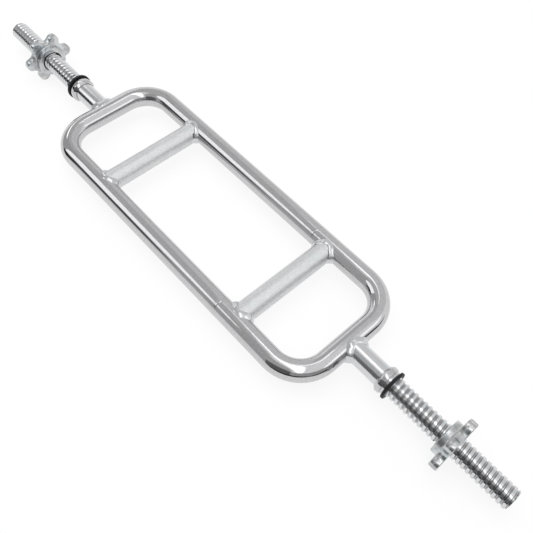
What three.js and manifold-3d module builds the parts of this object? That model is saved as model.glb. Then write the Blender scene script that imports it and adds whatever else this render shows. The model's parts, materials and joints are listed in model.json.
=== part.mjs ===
// Triceps bar: a bent loop with two cross grips, a threaded plate sleeve at each end,
// and a star collar that screws along each sleeve.
// Millimetres. X runs along the bar, Y along the grips, Z up, and the origin is the bar's centre.
// Near is the +X end and far the -X end. Facing +X, left is +Y and right is -Y.

import * as THREE from 'three';
import { mergeVertices } from 'three/addons/utils/BufferGeometryUtils.js';
import Module from 'manifold-3d';

// The whole bar and its loop. Lengths of the loop are between centre lines.
const overall_length = 860;
const loop_length = 436;
const loop_width = 144;
const bar_diameter = 25;
const corner_radius = 40;
const seam_station = 98;
const seam_width = 2.4;
const seam_crown = 0.2;

// The grips lie across the loop.
const grip_spacing = 240;
const grip_diameter = 25;

// The sleeves: a plain neck, then a coarse thread to the end.
const sleeve_diameter = 25;
const neck_length = 36.5;
const thread_pitch = 6;
const thread_crest_diameter = 24;
const thread_depth = 1.6;
const crest_width_share = 0.48;
const root_width_share = 0.2;
const sleeve_end_chamfer = 1.2;

// The welds round the feet of the grips and sleeves. A weld's legs lie along the two bars that
// it joins, its toes sink into them, and its face stands a little proud of a flat fillet.
const grip_weld_leg = 4.4;
const sleeve_weld_leg = 5.2;
const weld_toe_depth = 0.7;
const weld_face_rise = 0.35;
const weld_face_share = 0.8;
const weld_root_share = 0.5;
const saddle_round_share = 0.42;

// The stop that plates are pushed against, and its rubber washer.
const stop_bevel_length = 3.2;
const stop_ring_length = 5.4;
const stop_ring_diameter = 32;
const stop_ring_taper = 0.4;
const stop_rim_length = 3.1;
const stop_rim_diameter = 28.4;
const stop_edge = 0.5;
const washer_diameter = 33.6;
const washer_thickness = 3.2;
const washer_edge = 0.6;

// The star collar, with its hub towards the stop. Each collar's share is how far it has
// been screwed out along the free thread.
const near_collar_share = 0.5;
const far_collar_share = 0.48;
const prong_count = 6;
const prong_reach = 33;
const prong_tip_radius = 7.5;
const prong_valley_radius = 23.5;
const star_thickness = 9.5;
const star_bevel = 1.3;
const hub_diameter = 40;
const hub_height = 7.5;
const hub_edge = 1;
const bore_countersink = 1.2;
const ring_seat_diameter = 27.6;
const ring_seat_depth = 3;
const ring_stand_out = 0.5;

// Clearances: between seated pieces, and in the running thread.
const seat_gap = 0.3;
const thread_radial_clearance = 0.45;
const thread_flank_clearance = 0.35;

// How finely round forms are divided, how far a cutter runs past, and how near points are joined.
const bar_sides = 24;
const bend_steps = 8;
const turned_sides = 32;
const thread_sides = 16;
const arc_steps = 5;
const weld_steps = 32;
const cut_overrun = 5;
const join_distance = 1e-4;

// Sizes that follow from the ones above.
const bar_radius = bar_diameter / 2;
const grip_radius = grip_diameter / 2;
const sleeve_radius = sleeve_diameter / 2;
const thread_crest_radius = thread_crest_diameter / 2;
const thread_root_radius = thread_crest_radius - thread_depth;
const stop_bevel_station = loop_length / 2 + bar_radius + neck_length;
const stop_ring_station = stop_bevel_station + stop_bevel_length;
const stop_rim_station = stop_ring_station + stop_ring_length;
const stop_face_station = stop_rim_station + stop_rim_length;
const washer_inner_station = stop_face_station + seat_gap;
const washer_face_station = washer_inner_station + washer_thickness;
const thread_start_station = washer_face_station;
const sleeve_end_station = overall_length / 2;
const collar_length = star_thickness + hub_height;
const free_thread_length = sleeve_end_station - thread_start_station - collar_length;
const seated_bore_radius = sleeve_radius + seat_gap;
const quarter_turn = Math.PI / 2;
const full_turn = 2 * Math.PI;

const wasm = await Module();
wasm.setup();

// A closed geometry as a solid that can be joined and cut.
function solid_of(geometry) {
  const bare = geometry.clone();
  bare.deleteAttribute('normal');
  bare.deleteAttribute('uv');
  const merged = mergeVertices(bare, join_distance);
  const corners = merged.index.array;
  const kept = [];
  for (let i = 0; i < corners.length; i += 3) {
    const [a, b, c] = [corners[i], corners[i + 1], corners[i + 2]];
    if (a !== b && b !== c && c !== a) {
      kept.push(a, b, c);
    }
  }
  return new wasm.Manifold(new wasm.Mesh({
    numProp: 3,
    vertProperties: new Float32Array(merged.attributes.position.array),
    triVerts: new Uint32Array(kept),
  }));
}

// A solid as a geometry again.
function geometry_of(solid) {
  const mesh = solid.getMesh();
  const geometry = new THREE.BufferGeometry();
  geometry.setAttribute('position', new THREE.BufferAttribute(mesh.vertProperties, 3));
  geometry.setIndex(new THREE.BufferAttribute(mesh.triVerts, 1));
  geometry.computeVertexNormals();
  return geometry;
}

// A form turned about X from a closed outline of [radius, station] points.
function turned(outline, sides = turned_sides) {
  const points = outline.map(([radius, station]) => new THREE.Vector2(radius, station));
  const geometry = new THREE.LatheGeometry(points, sides);
  geometry.rotateZ(-quarter_turn);
  return geometry;
}

// A round rod along X or Y, used to cut neighbours to its shape.
function rod_along_x(radius, from, to) {
  return turned([[0, from], [radius, from], [radius, to], [0, to]], bar_sides);
}

function rod_along_y(radius, length) {
  return new THREE.CylinderGeometry(radius, radius, length, bar_sides);
}

// The centre line of a bent bar. Equal steps go to the next listed place,
// so a straight stretch takes one step and a bend takes several.
class BentLine extends THREE.Curve {
  constructor(places) {
    super();
    this.places = places;
  }

  at(share, key) {
    const step = share * (this.places.length - 1);
    const low = Math.min(Math.floor(step), this.places.length - 2);
    return this.places[low][key].clone().lerp(this.places[low + 1][key], step - low);
  }

  getPoint(share, target = new THREE.Vector3()) {
    return target.copy(this.at(share, 'point'));
  }

  getPointAt(share, target) {
    return this.getPoint(share, target);
  }

  getTangentAt(share, target = new THREE.Vector3()) {
    return target.copy(this.at(share, 'tangent')).normalize();
  }
}

function place(x, y, tangent_x, tangent_y) {
  return { point: new THREE.Vector3(x, y, 0), tangent: new THREE.Vector3(tangent_x, tangent_y, 0) };
}

// The places of a U that opens towards the middle. It starts and ends at from_station
// and goes round the short side of the loop. side is 1 at the near end and -1 at the far end.
function u_places(side, from_station) {
  const half_width = loop_width / 2;
  const centre_x = loop_length / 2 - corner_radius;
  const centre_y = half_width - corner_radius;
  const places = [place(from_station, -half_width, side, 0)];
  for (const end of [-1, 1]) {
    for (let step = 0; step <= bend_steps; step += 1) {
      const turn = quarter_turn * (step / bend_steps) + (end < 0 ? -quarter_turn : 0);
      const x = centre_x + corner_radius * Math.cos(turn);
      const y = end * centre_y + corner_radius * Math.sin(turn);
      places.push(place(side * x, y, -side * Math.sin(turn), Math.cos(turn)));
    }
  }
  places.push(place(from_station, half_width, -side, 0));
  return places;
}

function round_section(radius) {
  const points = [];
  for (let i = 0; i < bar_sides; i += 1) {
    const turn = full_turn * i / bar_sides;
    points.push(new THREE.Vector2(radius * Math.cos(turn), radius * Math.sin(turn)));
  }
  return new THREE.Shape(points);
}

function swept_bar(places, radius) {
  return new THREE.ExtrudeGeometry(round_section(radius), {
    steps: places.length - 1,
    extrudePath: new BentLine(places),
  });
}

// The full-section weld between the two bent halves, ground nearly flush.
function seam_weld(side_y) {
  const y = side_y * loop_width / 2;
  const from = seam_station - seam_width / 2;
  const to = seam_station + seam_width / 2;
  return swept_bar([place(from, y, 1, 0), place(to, y, 1, 0)], bar_radius + seam_crown);
}

// A grip, with both ends coped to the long sides of the loop.
function grip_bar() {
  let solid = solid_of(rod_along_y(grip_radius, loop_width));
  for (const side of [-1, 1]) {
    const cutter = rod_along_x(bar_radius + seat_gap, -grip_diameter, grip_diameter);
    cutter.translate(0, side * loop_width / 2, 0);
    solid = solid.subtract(solid_of(cutter));
  }
  return geometry_of(solid);
}

// The weld round the foot of a branch that runs along +X from a bar along Y at the origin.
// It is a ring of four-cornered sections: a toe on the branch, the face, a toe on the bar
// and a root inside the joint. Then both bars are cut out of it.
function saddle_weld(branch_radius, leg) {
  const points = [];
  const toe_radius = branch_radius - weld_toe_depth;
  for (let step = 0; step < weld_steps; step += 1) {
    const side = Math.sin(full_turn * step / weld_steps);
    const up = Math.cos(full_turn * step / weld_steps);
    const outward = new THREE.Vector3(0, side, up);
    const bar_depth = Math.max(bar_radius ** 2 - (branch_radius * up) ** 2, 0);
    const corner_x = Math.hypot(Math.sqrt(bar_depth), saddle_round_share * bar_radius);
    const corner = outward.clone().multiplyScalar(branch_radius).setX(corner_x);
    const bar_outward = new THREE.Vector3(corner.x, 0, corner.z).normalize();
    const face_normal = bar_outward.clone().add(outward).normalize();
    const opening = outward.angleTo(bar_outward);
    const height = weld_face_share * leg * Math.sin(opening / 2) + weld_face_rise;
    const climb = Math.atan2(corner.z, corner.x);
    const reach = new THREE.Vector2(Math.sin(climb), side).normalize().multiplyScalar(leg);
    const bar_turn = climb + reach.x / bar_radius;
    const bar_toe_radius = bar_radius - weld_toe_depth;
    points.push(
      new THREE.Vector3(corner.x + leg, toe_radius * side, toe_radius * up),
      corner.clone().addScaledVector(face_normal, height),
      new THREE.Vector3(
        bar_toe_radius * Math.cos(bar_turn),
        corner.y + reach.y,
        bar_toe_radius * Math.sin(bar_turn),
      ),
      corner.clone().addScaledVector(face_normal, -weld_root_share * leg),
    );
  }
  const section = points.length / weld_steps;
  const faces = [];
  for (let step = 0; step < weld_steps; step += 1) {
    const next = (step + 1) % weld_steps;
    for (let line = 0; line < section; line += 1) {
      const [a, b] = [section * step + line, section * step + (line + 1) % section];
      const [c, d] = [section * next + line, section * next + (line + 1) % section];
      faces.push(a, d, b, a, c, d);
    }
  }
  const ring = new THREE.BufferGeometry().setFromPoints(points);
  ring.setIndex(faces);
  const cut_reach = bar_diameter + branch_radius + leg;
  return geometry_of(solid_of(ring)
    .subtract(solid_of(rod_along_y(bar_radius + seat_gap, 2 * cut_reach)))
    .subtract(solid_of(rod_along_x(branch_radius + seat_gap, 0, cut_reach))));
}

// A right-hand threaded rod about X, from a pitch before one station to a pitch after the other.
// Every rod has its thread in the same place on X, whatever its ends.
// The clearances make it fatter all over, for cutting a nut that runs on the rod.
function threaded_rod(from, to, radial_clearance, flank_clearance) {
  const root_width = thread_pitch * root_width_share;
  const crest_width = thread_pitch * crest_width_share;
  const flank_width = (thread_pitch - root_width - crest_width) / 2;
  const root_radius = thread_root_radius + radial_clearance;
  const crest_radius = thread_crest_radius + radial_clearance;
  const profile = [
    [flank_clearance, root_radius],
    [root_width - flank_clearance, root_radius],
    [root_width + flank_width - flank_clearance, crest_radius],
    [root_width + flank_width + crest_width + flank_clearance, crest_radius],
  ];
  const first_turn = Math.floor(from / thread_pitch) - 2;
  const last_turn = Math.ceil(to / thread_pitch) + 1;
  const steps = (last_turn - first_turn) * thread_sides;
  const points = [];
  for (let step = 0; step <= steps; step += 1) {
    const turn = full_turn * (step % thread_sides) / thread_sides;
    const base = thread_pitch * (first_turn + step / thread_sides);
    for (const [along, radius] of profile) {
      points.push(base + along, radius * Math.cos(turn), radius * Math.sin(turn));
    }
  }
  const start_centre = points.length / 3;
  points.push(thread_pitch * first_turn, 0, 0);
  const end_centre = points.length / 3;
  points.push(thread_pitch * (last_turn + 1), 0, 0);

  const corner = (step, line) => step * profile.length + line;
  const faces = [];
  const last_line = profile.length - 1;
  for (let step = 0; step < steps; step += 1) {
    for (let line = 0; line < last_line; line += 1) {
      const [a, b] = [corner(step, line), corner(step, line + 1)];
      const [c, d] = [corner(step + 1, line), corner(step + 1, line + 1)];
      faces.push(a, d, b, a, c, d);
    }
    if (step + 1 + thread_sides <= steps) {
      const [a, b] = [corner(step, last_line), corner(step + thread_sides, 0)];
      const [c, d] = [corner(step + 1, last_line), corner(step + 1 + thread_sides, 0)];
      faces.push(a, d, b, a, c, d);
    }
  }
  for (let step = 0; step < thread_sides; step += 1) {
    faces.push(start_centre, corner(step + 1, 0), corner(step, 0));
    const late = steps - thread_sides + step;
    faces.push(end_centre, corner(late, last_line), corner(late + 1, last_line));
  }
  faces.push(start_centre, corner(0, last_line), corner(thread_sides, 0));
  faces.push(end_centre, corner(steps, 0), corner(steps - thread_sides, last_line));
  for (let line = 0; line < last_line; line += 1) {
    faces.push(start_centre, corner(0, line), corner(0, line + 1));
    faces.push(end_centre, corner(steps, line + 1), corner(steps, line));
  }

  const geometry = new THREE.BufferGeometry();
  geometry.setAttribute('position', new THREE.BufferAttribute(new Float32Array(points), 3));
  geometry.setIndex(faces);
  return solid_of(geometry);
}

// A sleeve: coped to the short side of the loop, plain to the washer, then threaded to its end.
function sleeve() {
  const loop_end = loop_length / 2;
  const thread_from = thread_start_station - thread_pitch;
  const envelope_radius = thread_crest_radius + cut_overrun;
  const chamfer_start = sleeve_end_station - sleeve_end_chamfer;
  const envelope = turned([
    [0, thread_from],
    [envelope_radius, thread_from],
    [envelope_radius, chamfer_start],
    [thread_crest_radius, chamfer_start],
    [thread_crest_radius - sleeve_end_chamfer, sleeve_end_station],
    [0, sleeve_end_station],
  ]);
  const thread = threaded_rod(thread_from, sleeve_end_station, 0, 0).intersect(solid_of(envelope));
  const neck = solid_of(rod_along_x(sleeve_radius, loop_end, thread_start_station));
  const short_side = rod_along_y(bar_radius + seat_gap, loop_width);
  short_side.translate(loop_end, 0, 0);
  return geometry_of(neck.add(thread).subtract(solid_of(short_side)));
}

// The stop: a bevel from the neck, a broad ring that tapers a little, and a thinner rim.
function stop_collar() {
  const ring_radius = stop_ring_diameter / 2;
  const tapered_radius = ring_radius - stop_ring_taper;
  return turned([
    [seated_bore_radius, stop_bevel_station],
    [seated_bore_radius + stop_edge, stop_bevel_station],
    [ring_radius, stop_ring_station],
    [tapered_radius, stop_rim_station - stop_edge],
    [tapered_radius - stop_edge, stop_rim_station],
    [stop_rim_diameter / 2, stop_rim_station],
    [stop_rim_diameter / 2, stop_face_station],
    [seated_bore_radius, stop_face_station],
    [seated_bore_radius, stop_bevel_station],
  ]);
}

// The rubber washer between the stop and the plates.
function stop_washer() {
  const radius = washer_diameter / 2;
  return turned([
    [seated_bore_radius, washer_inner_station],
    [radius - washer_edge, washer_inner_station],
    [radius, washer_inner_station + washer_edge],
    [radius, washer_face_station - washer_edge],
    [radius - washer_edge, washer_face_station],
    [seated_bore_radius, washer_face_station],
    [seated_bore_radius, washer_inner_station],
  ]);
}

// The star's outline: round prongs joined by hollow arcs. Shape x becomes -Z and shape y stays Y,
// so half a prong's spacing leaves two prongs level with each other at the bottom.
function star_outline() {
  const spacing = full_turn / prong_count;
  const tip_centre = prong_reach - prong_tip_radius;
  const inset = prong_tip_radius - prong_valley_radius;
  const valley_centre = (tip_centre ** 2 - inset ** 2)
    / (2 * (inset + tip_centre * Math.cos(spacing / 2)));
  const valley_radius = valley_centre - prong_valley_radius;
  const valley_x = valley_centre * Math.cos(spacing / 2);
  const valley_y = valley_centre * Math.sin(spacing / 2);
  const meet = Math.atan2(valley_y, valley_x - tip_centre);
  const outline = new THREE.Shape();
  for (let i = 0; i < prong_count; i += 1) {
    const turn = spacing * (i + 1 / 2);
    outline.absarc(tip_centre * Math.cos(turn), tip_centre * Math.sin(turn),
      prong_tip_radius, turn - meet, turn + meet, false);
    const hollow = turn + spacing / 2;
    const inward = hollow + Math.PI;
    const half = meet - spacing / 2;
    outline.absarc(valley_centre * Math.cos(hollow), valley_centre * Math.sin(hollow),
      valley_radius, inward + half, inward - half, true);
  }
  return outline;
}

// The station of the face of a collar's hub.
function hub_face_station(collar_share) {
  return thread_start_station + collar_share * free_thread_length;
}

// A star collar with its hub's face at a station, cut by the thread that it runs on.
function star_collar(hub_face) {
  const inner_face = hub_face + hub_height;
  const outer_face = inner_face + star_thickness;
  const star = new THREE.ExtrudeGeometry(star_outline(), {
    depth: star_thickness - 2 * star_bevel,
    curveSegments: arc_steps,
    bevelThickness: star_bevel,
    bevelSize: star_bevel,
    bevelOffset: -star_bevel,
    bevelSegments: 1,
  });
  star.rotateY(quarter_turn);
  star.translate(inner_face + star_bevel, 0, 0);
  const hub_radius = hub_diameter / 2;
  const hub = turned([
    [0, hub_face],
    [hub_radius - hub_edge, hub_face],
    [hub_radius, hub_face + hub_edge],
    [hub_radius, inner_face + star_bevel],
    [0, inner_face + star_bevel],
  ]);
  const seat_radius = ring_seat_diameter / 2;
  const seat = rod_along_x(seat_radius, hub_face - cut_overrun, hub_face + ring_seat_depth);
  const mouth_radius = thread_crest_radius + thread_radial_clearance;
  const mouth = turned([
    [0, outer_face - bore_countersink],
    [mouth_radius, outer_face - bore_countersink],
    [mouth_radius + bore_countersink, outer_face],
    [mouth_radius + bore_countersink, outer_face + cut_overrun],
    [0, outer_face + cut_overrun],
  ]);
  const running_thread = threaded_rod(hub_face, outer_face,
    thread_radial_clearance, thread_flank_clearance);
  return geometry_of(solid_of(star)
    .add(solid_of(hub))
    .subtract(running_thread)
    .subtract(solid_of(seat))
    .subtract(solid_of(mouth)));
}

// The rubber ring let into the mouth of a star collar's hub.
function collar_ring(hub_face) {
  const inner = thread_crest_radius + thread_radial_clearance;
  const outer = ring_seat_diameter / 2 - seat_gap;
  const from = hub_face - ring_stand_out;
  const to = hub_face + ring_seat_depth - seat_gap;
  const edge = ring_stand_out;
  return turned([
    [inner, from],
    [outer - edge, from],
    [outer, from + edge],
    [outer, to],
    [inner, to],
    [inner, from],
  ]);
}

const chrome = new THREE.MeshStandardMaterial({ color: 0xd4d6d8, roughness: 0.12, metalness: 1 });
const satin = new THREE.MeshStandardMaterial({ color: 0xc6c8ca, roughness: 0.42, metalness: 1 });
const weld = new THREE.MeshStandardMaterial({ color: 0xced0d2, roughness: 0.24, metalness: 1 });
const zinc = new THREE.MeshStandardMaterial({ color: 0xc2c5c9, roughness: 0.28, metalness: 1 });
const rubber = new THREE.MeshStandardMaterial({ color: 0x17181a, roughness: 0.7, metalness: 0 });

function piece(name, geometry, material) {
  const mesh = new THREE.Mesh(geometry, material);
  mesh.name = name;
  return mesh;
}

const bar = new THREE.Group();

// The loop, from a short U and a long U.
const near_from = seam_station + seam_width / 2;
const far_from = seam_station - seam_width / 2;
bar.add(piece('near_loop_half', swept_bar(u_places(1, near_from), bar_radius), chrome));
bar.add(piece('far_loop_half', swept_bar(u_places(-1, far_from), bar_radius), chrome));
for (const [hand, side] of [['left', 1], ['right', -1]]) {
  bar.add(piece(`${hand}_seam_weld`, seam_weld(side), weld));
}

// The grips and the welds at their ends.
for (const [end, direction] of [['near', 1], ['far', -1]]) {
  const grip = new THREE.Group();
  grip.position.x = direction * grip_spacing / 2;
  grip.add(piece(`${end}_grip`, grip_bar(), satin));
  for (const [hand, side] of [['left', 1], ['right', -1]]) {
    const foot = piece(`${end}_grip_${hand}_weld`, saddle_weld(grip_radius, grip_weld_leg), weld);
    foot.position.y = side * loop_width / 2;
    foot.rotation.z = -side * quarter_turn;
    grip.add(foot);
  }
  bar.add(grip);
}

// What sits at each end. The far end is the near end turned half a turn about Z,
// so both threads are right-handed.
const ends = [['near', near_collar_share, 0], ['far', far_collar_share, Math.PI]];
for (const [end, collar_share, turn] of ends) {
  const hub_face = hub_face_station(collar_share);
  const group = new THREE.Group();
  group.rotation.z = turn;
  group.add(piece(`${end}_sleeve`, sleeve(), chrome));
  const foot = piece(`${end}_sleeve_weld`, saddle_weld(sleeve_radius, sleeve_weld_leg), weld);
  foot.position.x = loop_length / 2;
  group.add(foot);
  group.add(piece(`${end}_stop_collar`, stop_collar(), chrome));
  group.add(piece(`${end}_stop_washer`, stop_washer(), rubber));
  group.add(piece(`${end}_star_collar`, star_collar(hub_face), zinc));
  group.add(piece(`${end}_collar_ring`, collar_ring(hub_face), rubber));
  bar.add(group);
}

export default bar;
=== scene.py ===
"""A triceps bar: a chromed loop with two cross grips, a threaded sleeve at each end,
rubber-faced stops, and a star collar that screws along each sleeve.

Metres. X runs along the bar, Y along the grips, Z up, and the origin is the bar's centre.
Near is the +X end and far the -X end. Facing +X, left is +Y and right is -Y.
"""

import json
import math

import bmesh
import bpy
from mathutils import Matrix, Vector

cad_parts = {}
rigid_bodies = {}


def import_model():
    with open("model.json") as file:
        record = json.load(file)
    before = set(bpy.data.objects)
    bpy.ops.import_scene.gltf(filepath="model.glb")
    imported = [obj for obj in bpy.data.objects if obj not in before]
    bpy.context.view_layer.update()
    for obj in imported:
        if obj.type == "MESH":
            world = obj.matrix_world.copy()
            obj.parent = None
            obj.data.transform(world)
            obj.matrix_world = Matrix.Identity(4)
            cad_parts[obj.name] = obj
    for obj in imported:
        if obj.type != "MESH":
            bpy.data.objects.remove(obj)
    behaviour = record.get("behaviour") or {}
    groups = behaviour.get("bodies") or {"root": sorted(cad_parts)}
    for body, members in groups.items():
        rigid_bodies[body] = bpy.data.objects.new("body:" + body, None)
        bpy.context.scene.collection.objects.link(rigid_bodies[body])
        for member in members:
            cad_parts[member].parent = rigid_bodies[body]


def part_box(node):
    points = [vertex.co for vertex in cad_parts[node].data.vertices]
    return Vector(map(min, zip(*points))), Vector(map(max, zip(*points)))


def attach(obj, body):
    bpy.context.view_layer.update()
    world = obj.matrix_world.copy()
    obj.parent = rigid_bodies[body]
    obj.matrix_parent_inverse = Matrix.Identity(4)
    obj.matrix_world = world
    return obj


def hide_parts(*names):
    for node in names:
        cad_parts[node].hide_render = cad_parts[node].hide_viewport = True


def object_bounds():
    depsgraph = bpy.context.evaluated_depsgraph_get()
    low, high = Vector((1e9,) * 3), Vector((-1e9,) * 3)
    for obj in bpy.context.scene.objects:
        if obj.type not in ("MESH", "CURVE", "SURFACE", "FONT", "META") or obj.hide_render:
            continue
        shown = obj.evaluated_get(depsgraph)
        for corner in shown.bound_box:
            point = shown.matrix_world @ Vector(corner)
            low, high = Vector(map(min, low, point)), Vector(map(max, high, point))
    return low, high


for leftover in list(bpy.data.objects):
    bpy.data.objects.remove(leftover)
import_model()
cad_low, cad_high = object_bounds()

bl_info = {
    "name": "Triceps Bar",
    "version": (1, 0, 0),
    "blender": (4, 5, 0),
    "location": "3D View > Sidebar > Triceps Bar",
    "description": "Makes a chromed triceps bar with screw-on star collars round its packed frame",
    "category": "Add Mesh",
}

FULL_TURN = 2 * math.pi
QUARTER_TURN = math.pi / 2
HALF_TURN_ABOUT_Z = Matrix.Rotation(math.pi, 4, "Z")
ENDS = (("near", 1), ("far", -1))
HANDS = (("left", 1), ("right", -1))
SQUARE = ((-1, -1), (1, -1), (1, 1), (-1, 1))
SHARP_ANGLE = math.radians(32)
JOIN_DISTANCE = 2e-6
GAP = 0.0003


def length(name, description, default):
    """A length in metres that a user can change."""
    return bpy.props.FloatProperty(
        name=name, description=description, default=default, min=0, precision=4,
        subtype="DISTANCE", unit="LENGTH")


def share(name, description, default):
    """A number from 0 to 1 that a user can change."""
    return bpy.props.FloatProperty(
        name=name, description=description, default=default, min=0, max=1, subtype="FACTOR")


def colour(name, description, default):
    """A colour that a user can change."""
    return bpy.props.FloatVectorProperty(
        name=name, description=description, default=default, size=3, min=0, max=1,
        subtype="COLOR")


def count(name, description, default):
    """A whole number that a user can change."""
    return bpy.props.IntProperty(name=name, description=description, default=default, min=1)


class LoopSizes(bpy.types.PropertyGroup):
    """Sizes of the bent loop, between centre lines."""

    loop_length: length("Loop length", "Between the centre lines of the short sides", 0.436)
    loop_width: length("Loop width", "Between the centre lines of the long sides", 0.144)
    bar_diameter: length("Bar diameter", "Thickness of the loop's bar", 0.025)
    corner_radius: length("Corner radius", "Bend radius of the centre line", 0.040)
    seam_station: length("Seam station", "Where the two halves are welded", 0.098)
    seam_width: length("Seam width", "Width of the butt weld", 0.0024)
    seam_crown: length("Seam crown", "Height of the butt weld over the bar", 0.00012)
    bar_sides: count("Bar sides", "Faces round the bar", 72)
    bend_steps: count("Bend steps", "Faces along each bend", 28)


class GripSizes(bpy.types.PropertyGroup):
    """Sizes of the two cross grips."""

    spacing: length("Grip spacing", "Between the grips' centre lines", 0.240)
    diameter: length("Grip diameter", "Thickness of a grip", 0.025)
    knurled_length: length("Knurled length", "Length that carries the knurl", 0.1092)
    knurl_pitch: length("Knurl pitch", "Length of a diamond along the grip", 0.0021)
    knurl_depth: length("Knurl depth", "Depth of the knurl's grooves", 0.00012)
    knurl_count: count("Knurl count", "Diamonds round the grip", 64)
    weld_leg: length("Weld leg", "Reach of the grips' welds", 0.0044)


class SleeveSizes(bpy.types.PropertyGroup):
    """Sizes of the threaded plate sleeves."""

    sleeve_end: length("Sleeve end", "Half the overall length", cad_high.x)
    thread_start: length("Thread start", "Where the thread begins", 0.2822)
    neck_diameter: length("Neck diameter", "Thickness of the plain neck", 0.025)
    thread_pitch: length("Thread pitch", "Travel of one turn", 0.006)
    crest_diameter: length("Crest diameter", "Thickness over the thread", 0.024)
    thread_depth: length("Thread depth", "Depth of the groove", 0.0016)
    crest_place: share("Crest's place", "Middle of the crest as a share of the pitch", 0.6)
    crest_share: share("Crest share", "Crest's share of the pitch", 0.48)
    flank_share: share("Flank share", "One flank's share of the pitch", 0.16)
    end_chamfer: length("End chamfer", "Chamfer at the sleeve's end", 0.0012)
    weld_leg: length("Weld leg", "Reach of the sleeves' welds", 0.0052)


class StopSizes(bpy.types.PropertyGroup):
    """Sizes of the stops and their rubber washers."""

    bevel_station: length("Bevel station", "Where the stop's bevel begins", 0.267)
    ring_station: length("Ring station", "Where the broad ring begins", 0.2702)
    rim_station: length("Rim station", "Where the thin rim begins", 0.2756)
    face_station: length("Face station", "The stop's outer face", 0.2787)
    bore_diameter: length("Bore diameter", "Hole for the sleeve", 0.0256)
    ring_diameter: length("Ring diameter", "Thickness of the broad ring", 0.032)
    rim_diameter: length("Rim diameter", "Thickness of the thin rim", 0.0284)
    washer_diameter: length("Washer diameter", "Rubber washer, outside", 0.0336)
    washer_face: length("Washer face", "The washer's outer face", 0.2822)
    washer_thickness: length("Washer thickness", "Rubber washer", 0.0032)


class CollarSizes(bpy.types.PropertyGroup):
    """Sizes of the star collars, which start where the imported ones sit."""

    near_face: length("Near hub face", "Station of the near hub's face",
                      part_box("near_star_collar")[0].x)
    far_face: length("Far hub face", "Distance of the far hub's face from the middle",
                     -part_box("far_star_collar")[1].x)
    prongs: count("Prongs", "Prongs on a star", 6)
    prong_reach: length("Prong reach", "From the axis to a prong's tip", 0.033)
    tip_radius: length("Tip radius", "Roundness of a prong", 0.0075)
    valley_reach: length("Valley reach", "From the axis to the hollows", 0.0235)
    thickness: length("Star thickness", "Along the bar", 0.0095)
    edge: length("Star edge", "Rounding of the star's edges", 0.0013)
    hub_diameter: length("Hub diameter", "Boss behind the star", 0.040)
    hub_height: length("Hub height", "Boss along the bar", 0.0075)
    bore_clearance: length("Bore clearance", "Gap round the thread", 0.00045)
    countersink: length("Countersink", "Chamfer of the bore's mouth", 0.0012)
    ring_diameter: length("Ring seat", "Recess for the rubber ring", 0.0276)
    ring_depth: length("Ring depth", "Depth of the ring's recess", 0.003)
    ring_stand_out: length("Ring stand-out", "How far the ring stands out", 0.0005)


class Finishes(bpy.types.PropertyGroup):
    """Colours and finishes."""

    chrome: colour("Chrome", "Polished chrome of the loop and sleeves", (0.60, 0.597, 0.608))
    mottle: colour("Mottle", "Slightly darker specks in the chrome", (0.47, 0.465, 0.475))
    chrome_roughness: share("Chrome roughness", "Softness of its reflections", 0.045)
    thread: colour("Thread chrome", "Chrome of the thread's crests", (0.66, 0.655, 0.665))
    # groove is painted shade for the thread's roots. It is not a dulled chrome.
    groove: colour("Groove", "Dulled chrome in the thread's roots", (0.34, 0.34, 0.345))
    weld: colour("Weld chrome", "Chrome over the welds", (0.63, 0.63, 0.64))
    satin: colour("Satin chrome", "Chrome of the knurled grips", (0.80, 0.805, 0.81))
    satin_roughness: share("Satin roughness", "Softness of the grips' reflections", 0.50)
    plating: colour("Plating", "Plated casting of the star collars", (0.58, 0.595, 0.61))
    dull_plating: colour("Dull plating", "Darker clouds in the plating", (0.30, 0.305, 0.315))
    tint_cool: colour("Cool tint", "Blue-green cast in the plating", (0.60, 0.73, 0.77))
    tint_warm: colour("Warm tint", "Faint straw cast in the plating", (0.78, 0.74, 0.69))
    rubber: colour("Rubber", "Washers and rings", (0.012, 0.012, 0.013))


class StudioSettings(bpy.types.PropertyGroup):
    """Camera, floor and light."""

    camera_place: bpy.props.FloatVectorProperty(
        name="Camera place", description="Where the camera stands", size=3,
        default=(0.365014, -0.277807, 0.611022), subtype="TRANSLATION", unit="LENGTH")
    camera_turn: bpy.props.FloatVectorProperty(
        name="Camera turn", description="How the camera is turned", size=3, subtype="EULER",
        default=tuple(math.radians(a) for a in (32.38932, -2.13927, 47.92105)))
    lens: bpy.props.FloatProperty(
        name="Lens", description="Focal length in millimetres on a 36 mm sensor",
        default=43.875, min=1)
    floor_colour: colour("Floor", "Pale floor", (0.93, 0.93, 0.93))
    fibre_colour: colour("Fibres", "Faint fibres in the floor", (0.88, 0.88, 0.88))
    floor_glow: share("Floor whiteness", "Share of plain white in the floor's picture", 0.86)
    room_light: bpy.props.FloatProperty(
        name="Room light", description="Strength of the even light", default=0.62, min=0)


# Node trees.

def both_ways(operation):
    """An operator's method and its reflected form."""
    return (lambda wire, value: wire.math(operation, wire, value),
            lambda wire, value: wire.math(operation, value, wire))


def one_way(operation):
    """A method that works on the wire alone."""
    return lambda wire: wire.math(operation, wire)


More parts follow.
